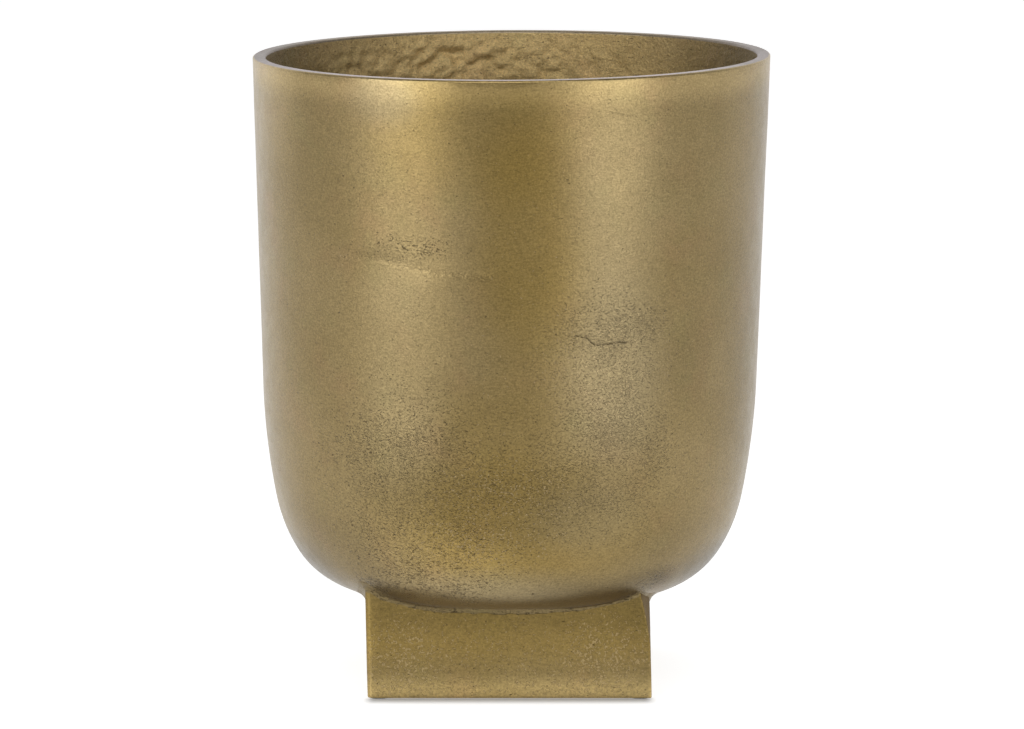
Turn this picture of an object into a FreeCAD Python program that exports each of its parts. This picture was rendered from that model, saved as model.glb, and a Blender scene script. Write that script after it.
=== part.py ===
"""Cast brass planter pot, in millimetres: a round tapered vessel on a square hollow foot.

Frame: +Z up, with the origin on the surface the pot stands on, under its middle.
The foot is coped to the vessel's underside and joined to it by a flat-faced bead of filler metal.
Four thin felt pads under the foot's corners carry the pot. Each piece is written to parts/NODE.step.
"""

import FreeCAD, Part
import math
import os

# Vessel
TOTAL_HEIGHT = 254.5
RIM_RADIUS = 105.0
WALL = 5.3
SIDE_LEAN = math.radians(1.87)  # the side wall's lean from upright, narrowing downwards
SIDE_DROP = 133.0  # how far the straight side wall reaches down from the rim
# Below the side wall, tangent arcs turn it under: (radius, lean from upright where the arc ends).
TURNS = (
    (288.0, math.radians(11.1)),
    (65.2, math.radians(32.6)),
    (33.4, math.radians(90.0)),
)
RIM_ROUNDING = 0.9

# Foot
FOOT_SIDE = 114.4
FOOT_WALL = 5.5
FOOT_CORNER_RADIUS = 2.4
HOLLOW_CORNER_RADIUS = 10.0
FOOT_EDGE_CHAMFER = 0.3

# Bead round the joint of vessel and foot
BEAD_LEG = 2.5  # how far the bead spreads over the foot and over the vessel
BEAD_REACH = 12.0  # more than the bead spreads from the joint in any direction

# Felt pads
PAD_RADIUS = 4.0
PAD_THICKNESS = 0.5
PAD_EDGE_GAP = 0.7  # from a pad's edge to the foot's outer faces

TOLERANCE = 1e-6  # for telling whether an edge lies at a level
JOINT_TOLERANCE = 0.01  # the same, for the curved edges of the joint
UP = FreeCAD.Vector(0, 0, 1)
ORIGIN = FreeCAD.Vector(0, 0, 0)


def vessel_path(depth):
    """Edges from the rim's plane down to the axis, lying depth inside the vessel's outer surface."""
    r = RIM_RADIUS
    z = TOTAL_HEIGHT
    lean = SIDE_LEAN
    rim_point = FreeCAD.Vector(r - depth / math.cos(lean), 0, z)
    r -= SIDE_DROP * math.tan(lean)
    z -= SIDE_DROP
    last = FreeCAD.Vector(r - depth * math.cos(lean), 0, z + depth * math.sin(lean))
    edges = [Part.makeLine(rim_point, last)]
    for radius, end_lean in TURNS:
        centre_r = r - radius * math.cos(lean)
        centre_z = z + radius * math.sin(lean)
        inner = radius - depth

        def on_arc(angle):
            return FreeCAD.Vector(centre_r + inner * math.cos(angle), 0, centre_z - inner * math.sin(angle))

        end = on_arc(end_lean)
        edges.append(Part.Arc(last, on_arc((lean + end_lean) / 2), end).toShape())
        r = centre_r + radius * math.cos(end_lean)
        z = centre_z - radius * math.sin(end_lean)
        last = end
        lean = end_lean
    edges.append(Part.makeLine(last, FreeCAD.Vector(0, 0, last.z)))
    return edges


def end_point(edges):
    """The point on the axis where a vessel path ends."""
    return edges[-1].Vertexes[-1].Point


def turned(edges):
    """The solid made by turning a closed outline about the vertical axis."""
    outline = Part.Wire(Part.__sortEdges__(edges))
    return Part.Face(outline).revolve(ORIGIN, UP, 360)


def envelope():
    """The vessel filled solid, for coping other pieces to its outside."""
    outside = vessel_path(0)
    rim_point = outside[0].Vertexes[0].Point
    top = FreeCAD.Vector(0, 0, TOTAL_HEIGHT)
    return turned(outside + [Part.makeLine(end_point(outside), top), Part.makeLine(top, rim_point)])


def make_bowl():
    """The open vessel, with an even wall and a flat rim with softly rounded edges."""
    outside = vessel_path(0)
    inside = vessel_path(WALL)
    axis_wall = Part.makeLine(end_point(outside), end_point(inside))
    rim = Part.makeLine(inside[0].Vertexes[0].Point, outside[0].Vertexes[0].Point)
    bowl = turned(outside + [axis_wall] + inside + [rim])
    rim_edges = [e for e in bowl.Edges if e.Closed and abs(e.BoundBox.ZMin - TOTAL_HEIGHT) < TOLERANCE]
    return bowl.makeFillet(RIM_ROUNDING, rim_edges)


def square_block(side, corner_radius, low, high):
    """An upright square block with rounded corners, centred on the axis."""
    block = Part.makeBox(side, side, high - low, FreeCAD.Vector(-side / 2, -side / 2, low))
    uprights = [e for e in block.Edges if e.BoundBox.ZLength > (high - low) / 2]
    return block.makeFillet(corner_radius, uprights)


def joint_top():
    """A level above the highest point, at the foot's corners, where the foot meets the vessel."""
    return end_point(vessel_path(0)).z + FOOT_SIDE / 4


def foot_block():
    """The foot as a solid block, from the pads up into the vessel."""
    return square_block(FOOT_SIDE, FOOT_CORNER_RADIUS, PAD_THICKNESS, joint_top())


def on_joint(box):
    """Whether an edge with this box runs round the foot where it enters the vessel."""
    reach = max(box.XMax, -box.XMin, box.YMax, -box.YMin)
    underside = end_point(vessel_path(0)).z
    on_foot = abs(reach - FOOT_SIDE / 2) < JOINT_TOLERANCE
    return on_foot and box.ZMin > underside - JOINT_TOLERANCE and box.ZMax < joint_top()


def make_foot():
    """The square foot: four walls open below, coped to the vessel's underside above."""
    block = foot_block()
    low_edges = [e for e in block.Edges if e.BoundBox.ZMax < PAD_THICKNESS + TOLERANCE]
    block = block.makeChamfer(FOOT_EDGE_CHAMFER, low_edges)
    hollow_side = FOOT_SIDE - 2 * FOOT_WALL
    hollow = square_block(hollow_side, HOLLOW_CORNER_RADIUS, 0, joint_top())
    return block.cut(hollow).cut(envelope())


def make_foot_weld():
    """The bead in the corner between the foot's sides and the vessel's underside."""
    vessel = envelope()
    block = foot_block()
    joined = vessel.fuse(block)
    joint = [e for e in joined.Edges if on_joint(e.BoundBox)]
    filled = joined.makeChamfer(BEAD_LEG, joint)
    underside = end_point(vessel_path(0)).z
    collar_side = FOOT_SIDE + 2 * BEAD_REACH
    collar = square_block(collar_side, BEAD_REACH, underside - BEAD_REACH, joint_top()).cut(block)
    return collar.cut(vessel).common(filled)


def make_felt_pads():
    """Four thin round pads under the foot's corners."""
    offset = FOOT_SIDE / 2 - PAD_EDGE_GAP - PAD_RADIUS
    pads = []
    for x in (-offset, offset):
        for y in (-offset, offset):
            pads.append(Part.makeCylinder(PAD_RADIUS, PAD_THICKNESS, FreeCAD.Vector(x, y, 0)))
    return Part.makeCompound(pads)


def write_parts():
    """Builds each piece and writes it under its node's name."""
    pieces = {
        "bowl": make_bowl(),
        "foot": make_foot(),
        "foot_weld": make_foot_weld(),
        "felt_pads": make_felt_pads(),
    }
    os.makedirs("parts", exist_ok=True)
    for node, shape in pieces.items():
        shape.exportStep(os.path.join("parts", node + ".step"))
        box = shape.BoundBox
        print(
            node,
            "solids", len(shape.Solids),
            "valid", shape.isValid(),
            "cm3 %.1f" % (shape.Volume / 1000),
            "z %.2f to %.2f" % (box.ZMin, box.ZMax),
        )


write_parts()
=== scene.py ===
"""Looks of the brass planter pot, in metres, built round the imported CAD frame."""

import math

import bpy
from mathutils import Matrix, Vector, noise


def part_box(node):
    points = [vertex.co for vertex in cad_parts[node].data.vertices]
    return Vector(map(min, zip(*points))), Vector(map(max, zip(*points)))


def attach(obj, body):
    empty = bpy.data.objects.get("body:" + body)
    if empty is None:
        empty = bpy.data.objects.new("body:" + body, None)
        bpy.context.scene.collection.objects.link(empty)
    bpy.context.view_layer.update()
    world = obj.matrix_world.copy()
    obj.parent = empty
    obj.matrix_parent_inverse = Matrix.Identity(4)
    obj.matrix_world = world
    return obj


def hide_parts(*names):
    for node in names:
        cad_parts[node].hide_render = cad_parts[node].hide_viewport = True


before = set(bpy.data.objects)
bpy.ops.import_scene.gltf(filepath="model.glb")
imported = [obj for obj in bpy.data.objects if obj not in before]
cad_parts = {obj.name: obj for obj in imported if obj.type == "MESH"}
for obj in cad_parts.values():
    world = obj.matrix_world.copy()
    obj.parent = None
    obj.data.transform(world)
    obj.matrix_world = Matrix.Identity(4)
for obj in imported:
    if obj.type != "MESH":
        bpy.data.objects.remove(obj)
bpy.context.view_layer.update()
bowl_low, bowl_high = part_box("bowl")
foot_low, foot_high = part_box("foot")

MM = 0.001

# Sizes that the CAD boxes don't give
WALL = 5.3 * MM
SIDE_LEAN = math.radians(1.87)
SIDE_DROP = 133 * MM
TURNS = (
    (288 * MM, math.radians(11.1)),
    (65.2 * MM, math.radians(32.6)),
    (33.4 * MM, math.radians(90)),
)
RIM_ROUNDING = 0.9 * MM
FOOT_WALL = 5.5 * MM
HOLLOW_CORNER = 10 * MM

RIM_RADIUS = bowl_high.y
RIM_LEVEL = bowl_high.z
UNDERSIDE = bowl_low.z
FOOT_HALF = foot_high.x
FOOT_BOTTOM = foot_low.z

# The casting isn't quite true: the vessel and the foot lean to the right by these shares of their height.
VESSEL_LEAN = 0.0056
FOOT_LEAN = -0.02
VESSEL_SHIFT = -0.45 * MM  # how far the vessel's bottom stands to the right of the foot's middle
RIM_SLANT = 0.0048  # the rim rises to the right by this share of the distance across


# ---------------------------------------------------------------- small tools


def smooth(low, high, value):
    """0 below low, 1 above high, smooth between."""
    t = min(1.0, max(0.0, (value - low) / (high - low)))
    return t * t * (3 - 2 * t)


def near(distance, reach):
    """1 at distance 0, falling smoothly to 0 at reach."""
    return 1 - smooth(0, reach, abs(distance))


def lumps(point, size, octaves=3):
    """Fractal noise of about -1 to 1 with lumps of that size, at a point in metres."""
    return noise.fractal(Vector(point) / size, 0.9, 2.0, octaves, noise_basis="PERLIN_NEW")


def pillows(point, size, octaves=3):
    """Rounded lumps of that size with sharp creases between them, from 0 up to about 1."""
    return noise.turbulence(Vector(point) / size, octaves, True, noise_basis="PERLIN_NEW")


def domes(point, size):
    """Round mounds of about that size packed side by side, from 1 on their tops down to 0 or less."""
    place = Vector(point) / size
    # Three plain noises, as noise.noise_vector gives other values each run
    drift = Vector([noise.noise(place * 0.8 + Vector((0, 0, shift))) for shift in (0, 100, 200)])
    distances, _ = noise.voronoi(place + 0.25 * drift)
    return 1 - (distances[0] / 0.75) ** 2


def mesh_object(name, points, faces):
    """A smooth-shaded mesh piece made from lists of points and faces."""
    mesh = bpy.data.meshes.new(name)
    mesh.from_pydata([tuple(p) for p in points], [], faces)
    mesh.validate()
    mesh.shade_smooth()
    piece = bpy.data.objects.new(name, mesh)
    bpy.context.scene.collection.objects.link(piece)
    return piece


def ring_faces(rings, around, closed=False):
    """Quads between rings of points that follow one another, the last joined to the first if closed."""
    faces = []
    for i in range(rings if closed else rings - 1):
        low = i * around
        high = ((i + 1) % rings) * around
        for j in range(around):
            k = (j + 1) % around
            faces.append((low + j, low + k, high + k, high + j))
    return faces


def close_ring(points, faces, start, around, pole, inward):
    """Closes a ring of points with a fan of triangles round a new point, the pole."""
    middle = len(points)
    points.append(pole)
    for j in range(around):
        a, b = start + j, start + (j + 1) % around
        faces.append((middle, b, a) if inward else (middle, a, b))


# ---------------------------------------------------------------- bowl

AROUND = 480
OUTSIDE, RIM, INSIDE, RIM_EDGE = range(4)
# Spacing of the mesh's rows outside, inside near the rim, and deeper inside
OUTSIDE_STEP = 2.6 * MM
FINE_STEP = 1.1 * MM
COARSE_STEP = 3.6 * MM
FINE_DEPTH = 30 * MM  # below the rim
# Relief of the ground outer surface
WAVE_HEIGHT = 0.13 * MM
RIPPLE_HEIGHT = 0.03 * MM
SHUT_DEPTH = 0.07 * MM
SWELLING_HEIGHT = 0.16 * MM
HOLLOW_DEPTH = 0.14 * MM
PATCH_ROUGHNESS = 0.14 * MM
PATCH_DEPTH = 0.05 * MM
# Relief of the flat rim and of the sand-cast inner surface
RIM_WAVE = 0.04 * MM
MOUND_SIZE = 4.4 * MM
MOUND_HEIGHT = 1.15 * MM
COARSE_HEIGHT = 0.15 * MM


def steps_between(low, high, spacing):
    """Evenly spaced shares of the way from low to high, without the last."""
    count = max(2, round(abs(high - low) / spacing))
    return [low + (high - low) * i / count for i in range(count)]


def wall_profile(depth, top_gap, spacing_at):
    """(radius, height, lean of the outward normal below level) down a wall, depth inside the outer surface.

    It starts top_gap under the rim and ends short of the axis. spacing_at gives the step at a height.
    """
    rows = []
    lean = SIDE_LEAN
    z = RIM_LEVEL - top_gap
    low = RIM_LEVEL - SIDE_DROP
    while z > low + spacing_at(z) / 2:
        radius = RIM_RADIUS - math.tan(lean) * (RIM_LEVEL - z)
        rows.append((radius - depth / math.cos(lean), z, lean))
        z -= spacing_at(z)
    r = RIM_RADIUS - math.tan(lean) * SIDE_DROP
    z = low
    for turn, end in TURNS:
        centre_r = r - turn * math.cos(lean)
        centre_z = z + turn * math.sin(lean)
        radius = turn - depth
        for a in steps_between(lean, end, spacing_at(z) / radius):
            rows.append((centre_r + radius * math.cos(a), centre_z - radius * math.sin(a), a))
        r = centre_r + turn * math.cos(end)
        z = centre_z - turn * math.sin(end)
        lean = end
    for radius in steps_between(r, 0, 2 * spacing_at(z)):
        rows.append((radius, z + depth, lean))
    return rows


def rim_profile():
    """(radius, height, direction of the normal above level) over the rim, from outside to inside."""
    rows = []
    outer = RIM_RADIUS - RIM_ROUNDING
    inner = RIM_RADIUS - WALL / math.cos(SIDE_LEAN) + RIM_ROUNDING
    centre = RIM_LEVEL - RIM_ROUNDING
    quarter = math.pi / 2
    turn_steps = 5
    for i in range(turn_steps + 1):
        a = quarter * i / turn_steps
        rows.append((outer + RIM_ROUNDING * math.cos(a), centre + RIM_ROUNDING * math.sin(a), a))
    for share in (0.33, 0.67):
        rows.append((outer + (inner - outer) * share, RIM_LEVEL, quarter))
    for i in range(turn_steps + 1):
        a = quarter * (1 + i / turn_steps)
        rows.append((inner + RIM_ROUNDING * math.cos(a), centre + RIM_ROUNDING * math.sin(a), a))
    return rows


def outside_relief(point, azimuth):
    """How far the ground outer surface stands proud, in metres: hand-grinding waves and casting flaws."""
    z = point[2]

    def spot(middle, height, across, up):
        """1 in the middle of a soft patch, 0 beyond it: degrees round, metres up."""
        return near(azimuth - middle, across) * near(z - height, up)

    wave = WAVE_HEIGHT * lumps(point, 55 * MM, 2) + RIPPLE_HEIGHT * lumps(point, 16 * MM, 2)
    # A cold shut: two flows of metal met along a line falling to the right, and grinding left a step.
    shut = spot(-24, (181 - 0.14 * max(0.0, azimuth + 30)) * MM, 26, 6.5 * MM)
    # Low down, a swelling that the grinding left, with a hollow above it
    swelling = spot(-17, 50 * MM, 26, 15 * MM)
    hollow = spot(0, 86 * MM, 30, 22 * MM)
    # A patch on the right that was filled, and shrank
    patch = spot(23, 143 * MM, 19, 42 * MM)
    rough = PATCH_ROUGHNESS * lumps(point, 7 * MM, 3) - PATCH_DEPTH
    return wave - SHUT_DEPTH * shut + SWELLING_HEIGHT * swelling - HOLLOW_DEPTH * hollow + patch * rough


def inside_relief(point, azimuth):
    """How far the sand-cast inner surface stands in from its mean, in metres: smooth just under the rim,
    rough in patches below, and roughest at the back, a little to the left.
    """
    rough = smooth(1 * MM, 9 * MM, RIM_LEVEL - point[2])
    left_back = near(azimuth % 360 - 196, 58)
    patchy = 0.35 + 0.35 * lumps(point, 50 * MM, 2)
    mounds = domes(point, MOUND_SIZE) + 0.4 * lumps(point, 3.5 * MM, 2)
    coarse = lumps(point, 17 * MM, 2)
    return rough * (patchy + 1.3 * left_back) * (MOUND_HEIGHT * mounds + COARSE_HEIGHT * coarse)


def vessel_shift(z):
    """How far the vessel's axis stands to the right of the foot's middle at a height."""
    return VESSEL_SHIFT + VESSEL_LEAN * (z - UNDERSIDE)


def make_bowl():
    """The vessel: ground outside, flat ground rim and sand-cast inside, as one closed mesh."""
    fine_low = RIM_LEVEL - FINE_DEPTH
    outer = wall_profile(0, RIM_ROUNDING, lambda z: OUTSIDE_STEP)
    inner = wall_profile(WALL, RIM_ROUNDING, lambda z: FINE_STEP if z > fine_low else COARSE_STEP)
    rows = [(r, z, -lean, OUTSIDE) for r, z, lean in reversed(outer)]
    for r, z, a in rim_profile()[1:-1]:
        rows.append((r, z, a, RIM if a > math.radians(60) else RIM_EDGE))
    rows += [(r, z, math.pi - lean, INSIDE) for r, z, lean in inner]
    points = []
    for r, z, direction, side in rows:
        out, up = math.cos(direction), math.sin(direction)
        shift = vessel_shift(z)
        for j in range(AROUND):
            turn = 2 * math.pi * j / AROUND
            azimuth = (math.degrees(turn) + 180) % 360 - 180
            x, y = math.sin(turn), -math.cos(turn)
            point = (r * x, r * y, z)
            if side == OUTSIDE:
                lift = outside_relief(point, azimuth)
            elif side == INSIDE:
                lift = inside_relief(point, azimuth)
            else:
                lift = RIM_WAVE * lumps(point, 25 * MM, 2)
            taller = RIM_SLANT * (RIM_RADIUS + r * x) * (z - UNDERSIDE) / (RIM_LEVEL - UNDERSIDE)
            points.append(((r + lift * out) * x + shift, (r + lift * out) * y, z + lift * up + taller))
    faces = ring_faces(len(rows), AROUND)
    for ring, inward in ((0, True), (len(rows) - 1, False)):
        z = points[ring * AROUND][2]
        close_ring(points, faces, ring * AROUND, AROUND, (vessel_shift(z), 0, z), inward)
    piece = mesh_object("bowl_casting", points, faces)
    slot_of = (OUTSIDE, RIM, INSIDE, OUTSIDE)
    sides = [slot_of[rows[i][3]] for i in range(len(rows) - 1) for _ in range(AROUND)]
    sides += [OUTSIDE] * AROUND + [INSIDE] * AROUND
    piece.data.polygons.foreach_set("material_index", sides)
    return piece


# ---------------------------------------------------------------- foot

SIDE_POINTS = 150
CORNER_POINTS = 8
# Radius of each upright corner, from the front right one round by the back to the front left one.
CORNER_RADII = (0.8 * MM, 1.8 * MM, 2.0 * MM, 2.4 * MM)
CORNER_SIGNS = ((1, -1), (1, 1), (-1, 1), (-1, -1))
BOTTOM_ROUNDING = 0.4 * MM
# The front right corner is ground back towards the vessel, as by the side of a wheel of this radius.
GRIND_FACING = math.radians(76)
GRIND_START = 13 * MM
GRIND_RADIUS = 119 * MM


def square_outline(half, radii):
    """(x, y, direction of the outward normal) round a square with rounded corners."""
    arcs = []
    for k, (sign_x, sign_y) in enumerate(CORNER_SIGNS):
        centre_x, centre_y = sign_x * (half - radii[k]), sign_y * (half - radii[k])
        arc = []
        for i in range(CORNER_POINTS + 1):
            a = math.pi / 2 * (k - 1 + i / CORNER_POINTS)
            arc.append((centre_x + radii[k] * math.cos(a), centre_y + radii[k] * math.sin(a), a))
        arcs.append(arc)
    outline = []
    for k, arc in enumerate(arcs):
        outline += arc
        x, y, a = arc[-1]
        next_x, next_y, _ = arcs[(k + 1) % 4][0]
        for i in range(1, SIDE_POINTS):
            share = i / SIDE_POINTS
            outline.append((x + (next_x - x) * share, y + (next_y - y) * share, a))
    return outline


def underside(x, y):
    """Height of the vessel's outer surface over a point near the foot."""
    turn, _ = TURNS[-1]
    upright_end = TURNS[-2][1]
    flat_radius = RIM_RADIUS - math.tan(SIDE_LEAN) * SIDE_DROP
    lean = SIDE_LEAN
    for radius, end in TURNS:
        flat_radius += radius * (math.cos(end) - math.cos(lean))
        lean = end
    past = max(0.0, math.hypot(x - VESSEL_SHIFT, y) - flat_radius)
    past = min(past, turn * math.cos(upright_end))
    return UNDERSIDE + turn - math.sqrt(turn * turn - past * past)


def ground_back(x, y, z):
    """A point of the foot's outside after the grinding of its front right corner."""
    facing_x, facing_y = math.sin(GRIND_FACING), -math.cos(GRIND_FACING)
    cut = max(0.0, z - GRIND_START) ** 2 / (2 * GRIND_RADIUS)
    limit = FOOT_HALF * (facing_x - facing_y) - cut * facing_x
    over = max(0.0, x * facing_x + y * facing_y - limit)
    return x - over * facing_x, y - over * facing_y


def make_foot():
    """The hollow square foot, its walls reaching a little into the vessel's underside."""
    sunk = 1.2 * MM
    outer_rows = 40
    inner_rows = 16
    half_hollow = FOOT_HALF - FOOT_WALL
    outside = square_outline(FOOT_HALF, CORNER_RADII)
    hollow = square_outline(half_hollow, (HOLLOW_CORNER,) * 4)
    around = len(outside)
    points = []

    def up_the_wall(start, share):
        """Height at that share of the way from a level to the wall's top, as a function of the place."""
        return lambda x, y: start + (underside(x, y) + sunk - start) * share

    def add_ring(outline, inset, height, relief_of, side):
        """Points along an outline, with relief outwards where side is 1 and inwards where it is -1."""
        for x, y, a in outline:
            z = height(x, y)
            normal = Vector((math.cos(a), math.sin(a))) * side
            lift = relief_of((x, y, z)) - inset
            px, py = x + normal.x * lift, y + normal.y * lift
            if side > 0:
                px, py = ground_back(px, py, z)
            points.append((px + FOOT_LEAN * (z - FOOT_BOTTOM), py, z))

    def outer_relief(p):
        return (0.10 * lumps(p, 30 * MM, 2) + 0.02 * lumps(p, 5 * MM, 2)) * MM

    def hollow_relief(p):
        return (0.5 * pillows(p, 6 * MM, 2) - 0.2) * MM

    turn_steps = 4
    for i in range(turn_steps):
        a = math.pi / 2 * i / turn_steps
        inset = BOTTOM_ROUNDING * (1 - math.sin(a))
        level = FOOT_BOTTOM + BOTTOM_ROUNDING * (1 - math.cos(a))
        add_ring(outside, inset, up_the_wall(level, 0), outer_relief, 1)
    for i in range(outer_rows + 1):
        add_ring(outside, 0, up_the_wall(FOOT_BOTTOM + BOTTOM_ROUNDING, i / outer_rows), outer_relief, 1)
    for i in range(inner_rows + 1):
        add_ring(hollow, 0, up_the_wall(FOOT_BOTTOM, 1 - i / inner_rows), hollow_relief, -1)
    rings = len(points) // around
    return mesh_object("foot_casting", points, ring_faces(rings, around, closed=True))


# ---------------------------------------------------------------- weld bead

BEAD_POINTS = 9  # round the bead's open face
BEAD_FACING = Vector((0.8, -0.6))  # (out, up)


def bead_size(azimuth):
    """(spread over the vessel, drop down the foot, proud, straight) of the bead round the foot.

    proud is how far the lower edge stands off the foot. straight is 1 along the foot's front and back,
    where the bead bulges, and 0 round its corners and sides, where it is a hollow fillet.
    """
    right = near(azimuth - 94, 58)
    left = min(1.0, 1.5 * near(azimuth + 84, 62))
    straight = max(near(azimuth + 2, 40), near(180 - abs(azimuth), 40))
    spread = 1.5 - 0.6 * straight + 2.6 * left + 7.6 * right
    drop = 1.5 + 1.1 * straight + 2.8 * left + 7.6 * right
    proud = -0.05 + 0.20 * straight
    return spread * MM, drop * MM, proud * MM, straight


def bead_section(low, top, slope, straight):
    """Points (out, up) over the bead, from its lower edge to its top, where the vessel has that slope."""
    hollow = Vector((0, top.y - top.x * slope))  # where the vessel's tangent meets the foot
    bulging = (low + top) * 0.62
    control = hollow.lerp(bulging, straight)
    section = []
    for i in range(BEAD_POINTS):
        t = i / (BEAD_POINTS - 1)
        section.append(low * (1 - t) ** 2 + control * 2 * t * (1 - t) + top * t * t)
    return section


def make_bead():
    """The rough bead in the corner between foot and vessel, sunk a little into both."""
    sunk = 0.5 * MM
    outline = square_outline(FOOT_HALF, CORNER_RADII)
    rings = [[] for _ in range(BEAD_POINTS + 3)]
    for x, y, a in outline:
        spread, drop, proud, straight = bead_size(math.degrees(math.atan2(x, -y)))
        drop *= 1 + 0.3 * lumps((x, y, UNDERSIDE), 5 * MM, 3)
        out_x, out_y = math.cos(a), math.sin(a)
        x, y = ground_back(x, y, underside(x, y))
        x += FOOT_LEAN * (underside(x, y) - FOOT_BOTTOM)
        crease = underside(x, y)
        rise = underside(x + out_x * spread, y + out_y * spread) - crease
        beyond = spread + 0.2 * MM
        slope = (underside(x + out_x * beyond, y + out_y * beyond) - crease - rise) / (beyond - spread)
        roughness = (0.06 + 0.22 * straight) * MM
        section = []
        smooth_section = bead_section(Vector((proud, -drop)), Vector((spread, rise)), slope, straight)
        for i, p in enumerate(smooth_section):
            # Rough over the bead's middle, and smooth where it meets the vessel
            swell = math.sin(math.pi * (0.15 + 0.85 * i / (BEAD_POINTS - 1)))
            grain = roughness * swell * lumps((x + p.x, y, crease + p.y), 2.0 * MM, 3)
            section.append(p + BEAD_FACING * grain)
        loop = [Vector((-sunk, -drop))] + section + [section[-1] + Vector((0, sunk)), Vector((-sunk, sunk))]
        for ring, p in zip(rings, loop):
            ring.append((x + out_x * p.x + FOOT_LEAN * p.y, y + out_y * p.x, crease + p.y))
    points = [p for ring in rings for p in ring]
    return mesh_object("weld_bead", points, ring_faces(len(rings), len(outline), closed=True))


# ---------------------------------------------------------------- felt pads


def make_pad(index, centre, radius, low, high):
    """One pressed felt disc with a slightly frayed edge."""
    around = 40
    bevel = 0.3 * (high - low)
    levels = ((0.2, low), (0.93, low), (1.0, low + bevel), (1.0, high - bevel), (0.93, high), (0.2, high))
    points = []
    for share, z in levels:
        for j in range(around):
            a = 2 * math.pi * j / around
            fray = 1 + 0.02 * noise.noise(Vector((index * 7.1, math.cos(a) * 6, math.sin(a) * 6)))
            r = radius * share * fray
            points.append((centre.x + r * math.cos(a), centre.y + r * math.sin(a), z))
    faces = ring_faces(len(levels), around)
    for ring, inward in ((0, True), (len(levels) - 1, False)):
        pole = (centre.x, centre.y, levels[ring][1])
        close_ring(points, faces, ring * around, around, pole, inward)
    return mesh_object(f"felt_pad_{index + 1}", points, faces)


def make_pads():
    """The four pads, in the corners of the CAD pads' box."""
    low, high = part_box("felt_pads")
    radius = 4 * MM
    pads = []
    for index, (sign_x, sign_y) in enumerate(CORNER_SIGNS):
        centre = Vector((sign_x * (high.x - radius), sign_y * (high.y - radius), 0))
        pads.append(make_pad(index, centre, radius * 0.98, low.z, high.z))
    return pads


bowl = make_bowl()
foot = make_foot()
bead = make_bead()
pads = make_pads()


# ---------------------------------------------------------------- materials


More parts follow.
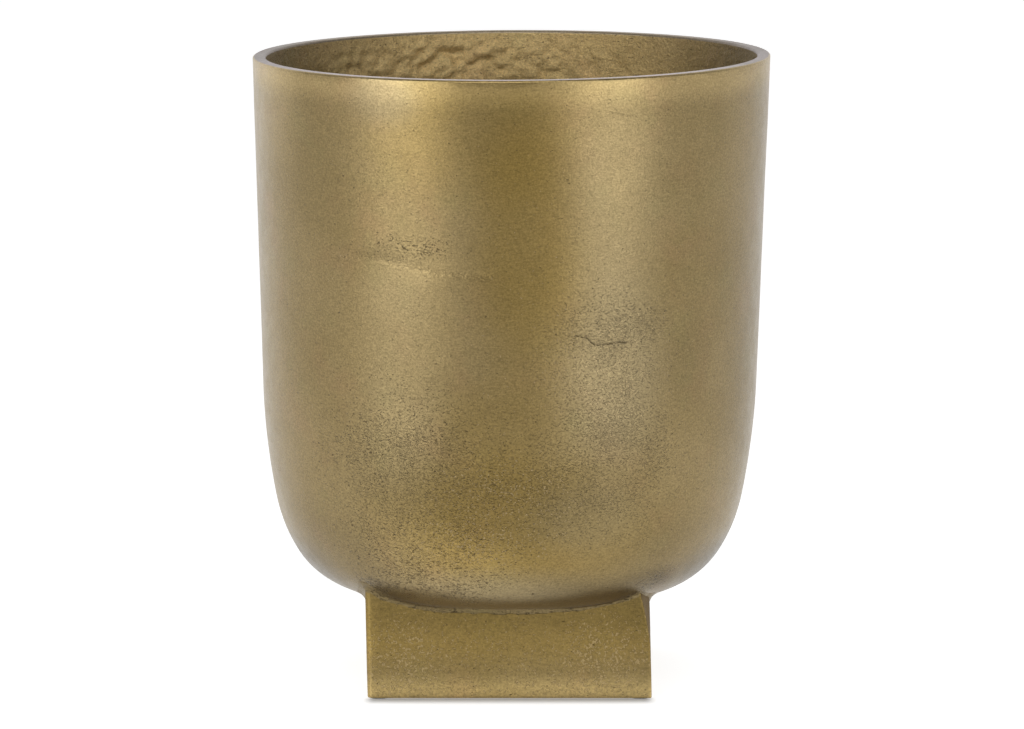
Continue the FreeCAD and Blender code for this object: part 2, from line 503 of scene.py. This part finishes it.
class Tree:
    """Short ways of adding shader nodes to one material."""

    def __init__(self, name):
        self.material = bpy.data.materials.new(name)
        self.material.use_nodes = True
        self.tree = self.material.node_tree
        self.tree.nodes.clear()
        self.place = self.add("TexCoord").outputs["Object"]
        x, y, z = self.add("SeparateXYZ", {0: self.place}).outputs
        turn = self.math("ARCTAN2", x, self.math("MULTIPLY", y, -1.0))
        self.azimuth = self.math("MULTIPLY", turn, math.degrees(1))  # in degrees
        self.height = self.math("MULTIPLY", z, 1 / MM)  # in millimetres

    def add(self, kind, inputs=None, **settings):
        """A shader node with its settings, and its inputs linked or set."""
        made = self.tree.nodes.new("ShaderNode" + kind)
        for name, value in settings.items():
            setattr(made, name, value)
        for socket, value in (inputs or {}).items():
            if isinstance(value, bpy.types.NodeSocket):
                self.tree.links.new(value, made.inputs[socket])
            else:
                made.inputs[socket].default_value = value
        return made

    def math(self, operation, a, b=0.0, c=0.0):
        """One sum of numbers or sockets."""
        return self.add("Math", {0: a, 1: b, 2: c}, operation=operation).outputs[0]

    def ramp(self, value, low, high, start=0.0, end=1.0):
        """value between low and high, smoothly mapped to start and end."""
        node = self.add(
            "MapRange",
            {"Value": value, "From Min": low, "From Max": high, "To Min": start, "To Max": end},
            interpolation_type="SMOOTHSTEP",
        )
        return node.outputs[0]

    def noise(self, size, detail=3.0, roughness=0.55, stretch=(1, 1, 1), offset=0.0):
        """Noise from 0 to 1 with features of that size in metres, stretched along each axis."""
        factors = tuple(1 / (size * s) for s in stretch)
        shift = (offset,) * 3
        where = self.add("VectorMath", {0: self.place, 1: factors, 2: shift}, operation="MULTIPLY_ADD")
        inputs = {"Vector": where.outputs[0], "Scale": 1.0, "Detail": detail, "Roughness": roughness}
        return self.add("TexNoise", inputs).outputs["Fac"]

    def colour(self, factor, a, b):
        """Colour a mixed towards colour b by a factor."""
        node = self.add("Mix", data_type="RGBA")
        for socket, value in ((node.inputs[0], factor), (node.inputs[6], a), (node.inputs[7], b)):
            if isinstance(value, bpy.types.NodeSocket):
                self.tree.links.new(value, socket)
            else:
                socket.default_value = value if isinstance(value, float) else (*value, 1.0)
        return node.outputs[2]

    def zone(self, azimuth, height, across, up):
        """1 in the middle of an oval on the pot's side, 0 beyond it: degrees round, millimetres up."""
        aside = self.math("MULTIPLY_ADD", self.azimuth, 1 / across, -azimuth / across)
        above = self.math("MULTIPLY_ADD", self.height, 1 / up, -height / up)
        offset = self.add("CombineXYZ", {0: aside, 1: above}).outputs[0]
        distance = self.add("VectorMath", {0: offset}, operation="LENGTH").outputs["Value"]
        return self.ramp(distance, 0.25, 1.0, 1.0, 0.0)

    def zones(self, table, base=0.0):
        """base plus, in each oval of the table, its last number."""
        total = base
        for *oval, amount in table:
            total = self.math("MULTIPLY_ADD", self.zone(*oval), amount, total)
        return total

    def stroke(self, points, width):
        """1 along a broken line through (azimuth, height) points, 0 past its ends or width mm away."""
        first, last = points[0][0], points[-1][0]
        low = min(h for _, h in points)
        rise = max(h for _, h in points) - low
        share = self.math("MULTIPLY_ADD", self.azimuth, 1 / (last - first), -first / (last - first))
        bend = self.add("FloatCurve", {"Value": share})
        line = bend.mapping.curves[0].points
        for i, (azimuth, height) in enumerate(points):
            place = ((azimuth - first) / (last - first), (height - low) / rise)
            if i in (0, len(points) - 1):
                line[0 if i == 0 else -1].location = place
            else:
                line.new(*place)
        for point in line:
            point.handle_type = "VECTOR"
        bend.mapping.update()
        wander = 0.8  # millimetres either way
        wobble = self.math("MULTIPLY_ADD", self.noise(3 * MM, 2.0), 2 * wander, low - wander)
        level = self.math("MULTIPLY_ADD", bend.outputs[0], rise, wobble)
        distance = self.math("ABSOLUTE", self.math("SUBTRACT", self.height, level))
        inside = self.math("MULTIPLY", self.ramp(share, 0.0, 0.06), self.ramp(share, 0.94, 1.0, 1.0, 0.0))
        gaps = self.ramp(self.noise(1.6 * MM, 2.0, offset=2.0), 0.38, 0.56, 0.1, 1.0)
        broken = self.math("MULTIPLY", inside, gaps)
        return self.math("MULTIPLY", self.ramp(distance, 0.2 * width, width, 1.0, 0.0), broken)

    def marks(self, size, density, stretch=(1.35, 1.35, 0.7), offset=0.0):
        """Short worm-like marks of about that size: few where density is 0, crowded where it is 1.

        They are the noise's peaks: by itself it seldom passes their threshold, and density lifts it.
        """
        grain = self.noise(size, 1.0, stretch=stretch, offset=offset)
        return self.ramp(self.math("MULTIPLY_ADD", density, 0.19, grain), 0.745, 0.80)

    def bumps(self, layers):
        """Surface normal from (height value, depth in metres) layers, one on another."""
        normal = None
        for value, depth in layers:
            inputs = {"Height": value, "Distance": depth, "Strength": 1.0}
            if normal is not None:
                inputs["Normal"] = normal
            normal = self.add("Bump", inputs).outputs["Normal"]
        return normal

    def surface(self, **sockets):
        """The shader and the material's output. Sockets are named with _ for spaces."""
        inputs = {name.replace("_", " "): value for name, value in sockets.items()}
        shader = self.add("BsdfPrincipled", inputs)
        out = self.add("OutputMaterial")
        self.tree.links.new(shader.outputs[0], out.inputs["Surface"])
        return self.material


def scaled(base, red, green, blue):
    """A colour with each of its parts multiplied."""
    return (base[0] * red, base[1] * green, base[2] * blue)


DIRT = (0.045, 0.030, 0.014)
DIRT_SHARE = 0.60  # of the colour in a mark
# Tints, as shares of the base colour's red, green and blue: of the patina, and the golden and cool ones
# also as painted shade and highlight colour
DARK_TINT = (0.93, 0.92, 0.88)
PALE_TINT = (1.06, 1.06, 1.08)
PINK_TINT = (1.05, 0.95, 1.0)
GREEN_TINT = (0.94, 1.01, 0.96)
GOLDEN_TINT = (1.0, 0.91, 0.55)
COOL_TINT = (1.0, 1.07, 1.30)
SPECK_TINT = (1.7, 1.7, 2.0)
SPECK_SHARE = 0.6  # of the colour in a speck
# Relief too fine for the mesh
LINE_DEPTH = 0.014 * MM
GRIT_DEPTH = 0.085 * MM
FLAW_DEPTH = 0.90 * MM
SPECK_HEIGHT = 0.16 * MM


def brass(
    name, base, roughness, *, marked=0.0, pit_zones=(), fine_zones=(), strokes=(), specks=(), tones_and_painted_light=(),
    golden=(), cool=(), grain=1.0, sand=0.05, metal=1.0, edge_tint=(1, 1, 1),
):
    """Antique brass of that base colour, with a blotchy patina, grinding lines, casting marks and specks,
    and lighter, darker, golden and cooler zones that are partly patina and partly painted light and shade.

    marked is the density of marks everywhere, and the zones and strokes add more. grain multiplies the
    relief of the grinding lines and grit, and sand is the relief, in millimetres, of a coarser grain.
    edge_tint is the share of each colour that the metal reflects at grazing angles.
    """
    m = Tree(name)
    blotch = m.noise(46 * MM, 3.0)
    pink = m.noise(24 * MM, 3.0, offset=5.0)
    green = m.noise(20 * MM, 3.0, offset=11.0)
    lines = m.noise(0.45 * MM, 3.0, 0.6, stretch=(5, 5, 1))
    grit = m.noise(0.8 * MM, 3.0, 0.7, offset=3.0)
    colour = m.colour(m.ramp(blotch, 0.3, 0.7), scaled(base, *DARK_TINT), scaled(base, *PALE_TINT))
    colour = m.colour(m.ramp(pink, 0.50, 0.75, 0.0, 0.5), colour, scaled(base, *PINK_TINT))
    colour = m.colour(m.ramp(green, 0.52, 0.78, 0.0, 0.5), colour, scaled(base, *GREEN_TINT))
    # Golden and cool zones: patina, and painted shade and highlight colour
    colour = m.colour(m.zones(golden), colour, scaled(base, *GOLDEN_TINT))
    colour = m.colour(m.zones(cool), colour, scaled(base, *COOL_TINT))
    # Lighter and darker zones: patina, and painted light and shade
    bright = m.zones(tones_and_painted_light, 1.0)
    bright = m.math("MULTIPLY", bright, m.ramp(lines, 0.25, 0.75, 0.90, 1.10))
    bright = m.math("MULTIPLY", bright, m.ramp(grit, 0.25, 0.75, 0.78, 1.22))
    colour = m.add("VectorMath", {0: colour, "Scale": bright}, operation="SCALE").outputs[0]

    # Large and small marks, in clumps, and lines: the small ones are nearly as deep but hold less dirt.
    clumps = m.ramp(m.noise(13 * MM, 2.0, offset=13.0), 0.3, 0.65, 0.65, 1.06)
    large = m.marks(1.05 * MM, m.math("MULTIPLY", m.zones(pit_zones, marked), clumps))
    fine_density = m.zones(pit_zones + fine_zones, marked)
    small = m.marks(0.75 * MM, m.math("MULTIPLY", fine_density, clumps), offset=7.0)
    flaws = m.math("MAXIMUM", large, m.math("MULTIPLY", small, 0.8))
    stain = m.math("MAXIMUM", large, m.math("MULTIPLY", small, 0.2))
    for points, width, strength in strokes:
        line = m.math("MULTIPLY", m.stroke(points, width), strength)
        flaws = m.math("MAXIMUM", flaws, line)
        stain = m.math("MAXIMUM", stain, line)
    colour = m.colour(m.math("MULTIPLY", stain, DIRT_SHARE), colour, DIRT)
    layers = [(lines, LINE_DEPTH * grain), (grit, GRIT_DEPTH * grain), (flaws, -FLAW_DEPTH)]
    layers.append((m.noise(2.0 * MM, 4.0, 0.65, offset=31.0), sand * MM))
    if specks:
        raised = m.marks(0.8 * MM, m.zones(specks), stretch=(1, 1, 1), offset=23.0)
        colour = m.colour(m.math("MULTIPLY", raised, SPECK_SHARE), colour, scaled(base, *SPECK_TINT))
        layers.append((raised, SPECK_HEIGHT))
    rough = m.ramp(m.noise(6 * MM, 3.0, offset=9.0), 0.3, 0.7, roughness - 0.03, roughness + 0.03)
    return m.surface(
        Base_Color=colour, Metallic=metal, Roughness=rough, Normal=m.bumps(layers),
        Specular_Tint=(*edge_tint, 1.0),
        Sheen_Weight=0.05, Sheen_Roughness=0.4, Sheen_Tint=(0.93, 0.90, 1.0, 1.0),
    )


def felt():
    """Grey pressed felt."""
    m = Tree("grey_felt")
    fibres = m.noise(0.25 * MM, 4.0, 0.7)
    colour = m.colour(m.ramp(fibres, 0.3, 0.7), (0.30, 0.30, 0.29), (0.52, 0.51, 0.49))
    return m.surface(
        Base_Color=colour, Roughness=0.95, Normal=m.bumps([(fibres, 0.15 * MM)]), Sheen_Weight=0.4
    )


# Every zone is an oval on the pot's side: direction in degrees to the right of the front, height in mm,
# reach in degrees, reach in mm, and the amount in its middle.
EVERYWHERE = 400  # degrees, so that an oval goes all round

# Density of large and small casting marks, and of small ones alone
PIT_ZONES = (
    (-24, 88, 40, 66, 0.38),
    (-20, 58, 40, 28, 0.42),
    (-33, 110, 30, 18, 0.20),
    (-26, 50, 26, 16, 0.35),
    (24, 157, 20, 19, 0.40),
    (33, 112, 18, 18, 0.35),
    (-23, 188, 15, 8, 0.65),
    (44, 49, 12, 9, 0.75),
    (-43, 48, 10, 7, 0.65),
    (128, 70, 30, 20, 0.7),
    (-140, 150, 22, 18, 0.5),
    (165, 200, 20, 12, 0.45),
)
FINE_ZONES = (
    (22, 145, 26, 44, 0.70),
    (24, 100, 32, 44, 0.70),
    (0, 150, 70, 110, 0.15),
    (0, 75, 90, 60, 0.28),
    (-35, 217, 16, 26, 0.35),
    (-25, 100, 36, 56, 0.45),
    (70, 130, 12, 8, 0.35),
    (110, 160, 30, 40, 0.35),
    (-120, 90, 30, 30, 0.40),
)
# Thin lines on the vessel through (direction in degrees, height in mm)
CRACK = ((12.7, 154.1), (15, 153.6), (17.3, 153), (18.7, 150.5), (20.2, 149.6), (23, 150.1), (28, 150.2))
COLD_SHUT = ((-44.3, 182.5), (-39.7, 182.4), (-30.1, 183.7), (-25.2, 181.8), (-15.5, 179), (-2.4, 176.7))
ARC_MARK = ((-27.7, 129.2), (-25.7, 128.6), (-22, 127.8), (-17.3, 128.3))
SCRATCH = ((21.7, 242.3), (25, 240.5), (28.9, 239.7))
# Each line with its half width in mm and its strength
STROKES = ((CRACK, 0.50, 0.7), (ARC_MARK, 0.45, 0.15), (SCRATCH, 0.45, 0.08), (COLD_SHUT, 2.4, 0.10))
# Density of bright raised specks
SPECKS = (
    (24, 140, 24, 36, 0.6),
    (-20, 60, 34, 28, 0.45),
    (0, 84, 36, 34, 0.55),
    (0, 150, 80, 120, 0.25),
)
FOOT_SPECKS = (
    (-38, 18, 18, 34, 0.55),
    (35, 20, 20, 34, 0.55),
    (0, 12, 80, 34, 0.65),
)
# Lighter and darker stretches, as a share of the colour: some are patina, most are painted light and shade
# On the vessel: painted highlights under the rim and on the highlight stripes, painted shade low down, on
# the flanks and in the corners over the foot, and patina
PATINA_AND_PAINTED_LIGHT = (
    (2, 84, 36, 26, -0.20),
    (-14, 60, 28, 16, 0.22),
    (78, 150, 34, 120, -0.12),
    (45, 140, 10, 24, -0.10),
    (-26, 185, 20, 4, -0.10),
    (150, 120, 30, 30, -0.12),
    (-110, 60, 25, 20, 0.10),
    (-52, 60, 28, 28, -0.16),
    (50, 60, 26, 26, -0.12),
    (23, 130, 18, 60, 0.10),
    (23, 225, 16, 30, 0.08),
    (20, 46, 22, 12, -0.20),
    (-20, 64, 24, 26, 0.18),
    (-10, 46, 46, 12, 0.15),
    (13, 140, 10, 50, 0.12),
    (-26, 112, 14, 16, 0.12),
    (-19, 182, 12, 12, 0.14),
    (20, 72, 16, 22, 0.08),
    (40, 49, 16, 10, -0.28),
    # Painted shade on the lower flanks, both sides
    (-88, 46, 46, 24, -0.56),
    (88, 46, 52, 24, -0.60),
    (-38, 46, 14, 8, -0.25),
    (-62, 235, 14, 30, 0.10),
    (13, 240, 10, 20, 0.10),
    # Painted highlight: a bright band all round just under the rim
    (0, 254, EVERYWHERE, 13, 0.4),
)
# On the foot: a painted reflection of the bright floor along the bottom, a painted highlight up the left
# front corner, and painted shade on the right side and on the top, under the vessel
FOOT_PAINTED_LIGHT = (
    (0, 0, EVERYWHERE, 12, 0.7),
    (-47, 25, 5, 40, 0.25),
    (70, 30, 40, 90, -0.3),
    (0, 38, EVERYWHERE, 16, -0.2),
)
# An oval doesn't cross the back, so one on the back needs a second copy at minus its direction.
RIM_TONES = (
    (180, 254, 150, 20, -0.35),
    (-180, 254, 150, 20, -0.35),
    (90, 254, 60, 20, -0.22),
    (-90, 254, 60, 20, -0.22),
)
# Painted light inside: the back wall painted lit, and the side walls painted shaded where they reflect dark
# surroundings
INSIDE_PAINTED_LIGHT = (
    (180, 240, 75, 70, 1.35),
    (-180, 240, 75, 70, 1.35),
    (105, 240, 45, 70, -0.22),
    (-90, 240, 40, 70, -0.12),
)
# Stretches that are more golden: patina, and on the vessel's front a painted shade colour, deeper gold
# where it reflects dark surroundings
GOLDEN_PATINA_AND_SHADE = (
    (4, 190, 17, 80, 0.65),
    (-8, 235, 30, 40, 0.35),
    (0, 76, 44, 40, 0.7),
    (-2, 115, 18, 30, 0.35),
    (150, 150, 30, 90, 0.5),
)
FOOT_GOLDEN = ((0, 30, EVERYWHERE, 24, 0.6),)
RIM_GOLDEN = ((180, 254, 100, 20, 0.8), (-180, 254, 100, 20, 0.8))
# Stretches that are paler and cooler: patina, and painted highlight colour on the highlight stripes and
# along the crease over the foot
COOL_PATINA_AND_HIGHLIGHTS = (
    (24, 210, 18, 60, 0.35),
    (25, 140, 18, 60, 0.7),
    (-25, 140, 14, 90, 0.3),
    (-29, 247, 13, 16, 0.6),
    (19, 80, 20, 22, 0.45),
    (-4, 46, 44, 16, 0.7),
)

BRASS = (0.257, 0.192, 0.088)
GROUND_RIM = (0.47, 0.41, 0.39)
outside_brass = brass(
    "brass_outside", BRASS, 0.32, pit_zones=PIT_ZONES, fine_zones=FINE_ZONES, strokes=STROKES,
    specks=SPECKS, tones_and_painted_light=PATINA_AND_PAINTED_LIGHT, golden=GOLDEN_PATINA_AND_SHADE, cool=COOL_PATINA_AND_HIGHLIGHTS,
)
rim_brass = brass("brass_rim", GROUND_RIM, 0.45, grain=0.3, tones_and_painted_light=RIM_TONES, golden=RIM_GOLDEN)
inside_brass = brass(
    "brass_inside", scaled(BRASS, 1.02, 1.01, 1.0), 0.60, marked=0.3, tones_and_painted_light=INSIDE_PAINTED_LIGHT, metal=0.55,
    grain=2.6, sand=0.8,
)
foot_brass = brass(
    "brass_foot", scaled(BRASS, 1.05, 1.04, 0.95), 0.33, specks=FOOT_SPECKS, tones_and_painted_light=FOOT_PAINTED_LIGHT,
    golden=FOOT_GOLDEN, edge_tint=(0.5, 0.47, 0.47),
)
bead_brass = brass("brass_bead", scaled(BRASS, 0.76, 0.77, 0.80), 0.42, marked=0.6, grain=2.5)
grey_felt = felt()

for material in (outside_brass, rim_brass, inside_brass):
    bowl.data.materials.append(material)
foot.data.materials.append(foot_brass)
bead.data.materials.append(bead_brass)
for pad in pads:
    pad.data.materials.append(grey_felt)

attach(bowl, "root")
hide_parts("bowl")
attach(foot, "root")
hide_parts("foot")
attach(bead, "root")
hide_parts("foot_weld")
for pad in pads:
    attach(pad, "root")
    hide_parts("felt_pads")


# ---------------------------------------------------------------- stage, light and camera


FLOOR_GLOW = 0.78
# A painted shadow along the foot's front: the floor's glow is cut by that share, over that reach forwards.
PAINTED_SHADOW = 0.85
PAINTED_SHADOW_REACH = 12 * MM
PAINTED_SHADOW_EDGE = 3 * MM  # half the width over which the shade ends at the foot's sides
# The glow fades towards the front between these distances ahead of the foot.
LIT_AHEAD = 70 * MM
UNLIT_AHEAD = 600 * MM
FRONT_GLOW = 0.55


def make_floor():
    """A wide pale floor that glows like a light table, with a painted shadow: a strip of weaker glow along
    the foot's front.
    """
    half = 12.0
    corners = [(-half, -half, 0), (half, -half, 0), (half, half, 0), (-half, half, 0)]
    floor = mesh_object("studio_floor", corners, [(0, 1, 2, 3)])
    m = Tree("pale_floor")
    x, y, _ = m.add("SeparateXYZ", {0: m.place}).outputs
    ahead = m.math("SUBTRACT", m.math("MULTIPLY", y, -1.0), FOOT_HALF)
    aside = m.math("SUBTRACT", m.math("ABSOLUTE", x), FOOT_HALF)
    # Painted shadow: the glow is cut in a strip along the foot's front
    painted_shadow = m.ramp(ahead, 0.0, PAINTED_SHADOW_REACH, 1.0, 0.0)
    painted_shadow = m.math("MULTIPLY", painted_shadow, m.ramp(ahead, -FOOT_WALL, 0.0))
    painted_shadow = m.math("MULTIPLY", painted_shadow, m.ramp(aside, -PAINTED_SHADOW_EDGE, PAINTED_SHADOW_EDGE, 1.0, 0.0))
    lit = m.ramp(ahead, LIT_AHEAD, UNLIT_AHEAD, FLOOR_GLOW, FRONT_GLOW)
    glow = m.math("MULTIPLY", lit, m.math("MULTIPLY_ADD", painted_shadow, -PAINTED_SHADOW, 1.0))
    pale = (0.5, 0.5, 0.5, 1.0)
    floor.data.materials.append(
        m.surface(Base_Color=pale, Roughness=0.9, Emission_Color=(1, 1, 1, 1), Emission_Strength=glow)
    )


# Upright soft lights, all at one distance: (name, direction in degrees, lowest, highest, width, brightness)
LIGHT_DISTANCE = 1.4
LIGHTS = (
    ("left_low", -46, 0.01, 0.27, 0.80, 2.75),
    ("left_high", -50, 0.27, 1.0, 0.95, 3.0),
    ("right_low", 43, 0.01, 0.27, 0.82, 2.6),
    ("right_high", 44, 0.27, 1.0, 0.95, 2.0),
    ("front_top", 0, 1.0, 2.0, 1.4, 3.9),
    ("left_back", -135, 0.01, 1.0, 0.9, 0.3),
)


def soft_light(name, azimuth, low, high, width, brightness):
    """An upright rectangular soft light facing the pot."""
    lamp = bpy.data.lights.new(name, "AREA")
    lamp.shape = "RECTANGLE"
    lamp.size, lamp.size_y = width, high - low
    lamp.energy = math.pi * width * (high - low) * brightness
    light = bpy.data.objects.new(name, lamp)
    bpy.context.scene.collection.objects.link(light)
    turn = math.radians(azimuth)
    light.location = (LIGHT_DISTANCE * math.sin(turn), -LIGHT_DISTANCE * math.cos(turn), (low + high) / 2)
    light.rotation_euler = (math.pi / 2, 0, turn)
    light.visible_camera = False


WORLD_FRONT_END = -0.5  # where the light starts to grow, as the direction's part towards the back
WORLD_BACK = 1.05


def make_world():
    """White light that grows from nothing in front of the pot to its full strength behind it."""
    world = bpy.data.worlds.new("studio")
    world.use_nodes = True
    tree = world.node_tree
    direction = tree.nodes.new("ShaderNodeTexCoord").outputs["Generated"]
    split = tree.nodes.new("ShaderNodeSeparateXYZ")
    tree.links.new(direction, split.inputs[0])
    ramp = tree.nodes.new("ShaderNodeMapRange")
    ramp.interpolation_type = "SMOOTHSTEP"
    tree.links.new(split.outputs["Y"], ramp.inputs["Value"])
    ramp.inputs["From Min"].default_value = WORLD_FRONT_END
    ramp.inputs["From Max"].default_value = 1.0
    ramp.inputs["To Min"].default_value = 0.0
    ramp.inputs["To Max"].default_value = WORLD_BACK
    background = tree.nodes["Background"]
    background.inputs["Color"].default_value = (1, 1, 1, 1)
    tree.links.new(ramp.outputs[0], background.inputs["Strength"])
    bpy.context.scene.world = world


CAMERA_DISTANCE = 2.6256
CAMERA_HEIGHT = 0.5146 + FOOT_BOTTOM
CAMERA_ASIDE = 0.97 * MM
CAMERA_PITCH = math.radians(8.39)  # downwards
CAMERA_LENS = 228.5  # millimetres of focal length


def make_camera():
    """The camera at the front, a little above the rim, looking slightly down."""
    lens = bpy.data.cameras.new("camera")
    lens.lens = CAMERA_LENS
    lens.sensor_width = 36
    camera = bpy.data.objects.new("camera", lens)
    bpy.context.scene.collection.objects.link(camera)
    camera.location = (CAMERA_ASIDE, -CAMERA_DISTANCE, CAMERA_HEIGHT)
    camera.rotation_euler = (math.pi / 2 - CAMERA_PITCH, 0, 0)
    bpy.context.scene.camera = camera


make_floor()
make_world()
for light in LIGHTS:
    soft_light(*light)
make_camera()
bpy.context.scene.view_settings.view_transform = "Standard"
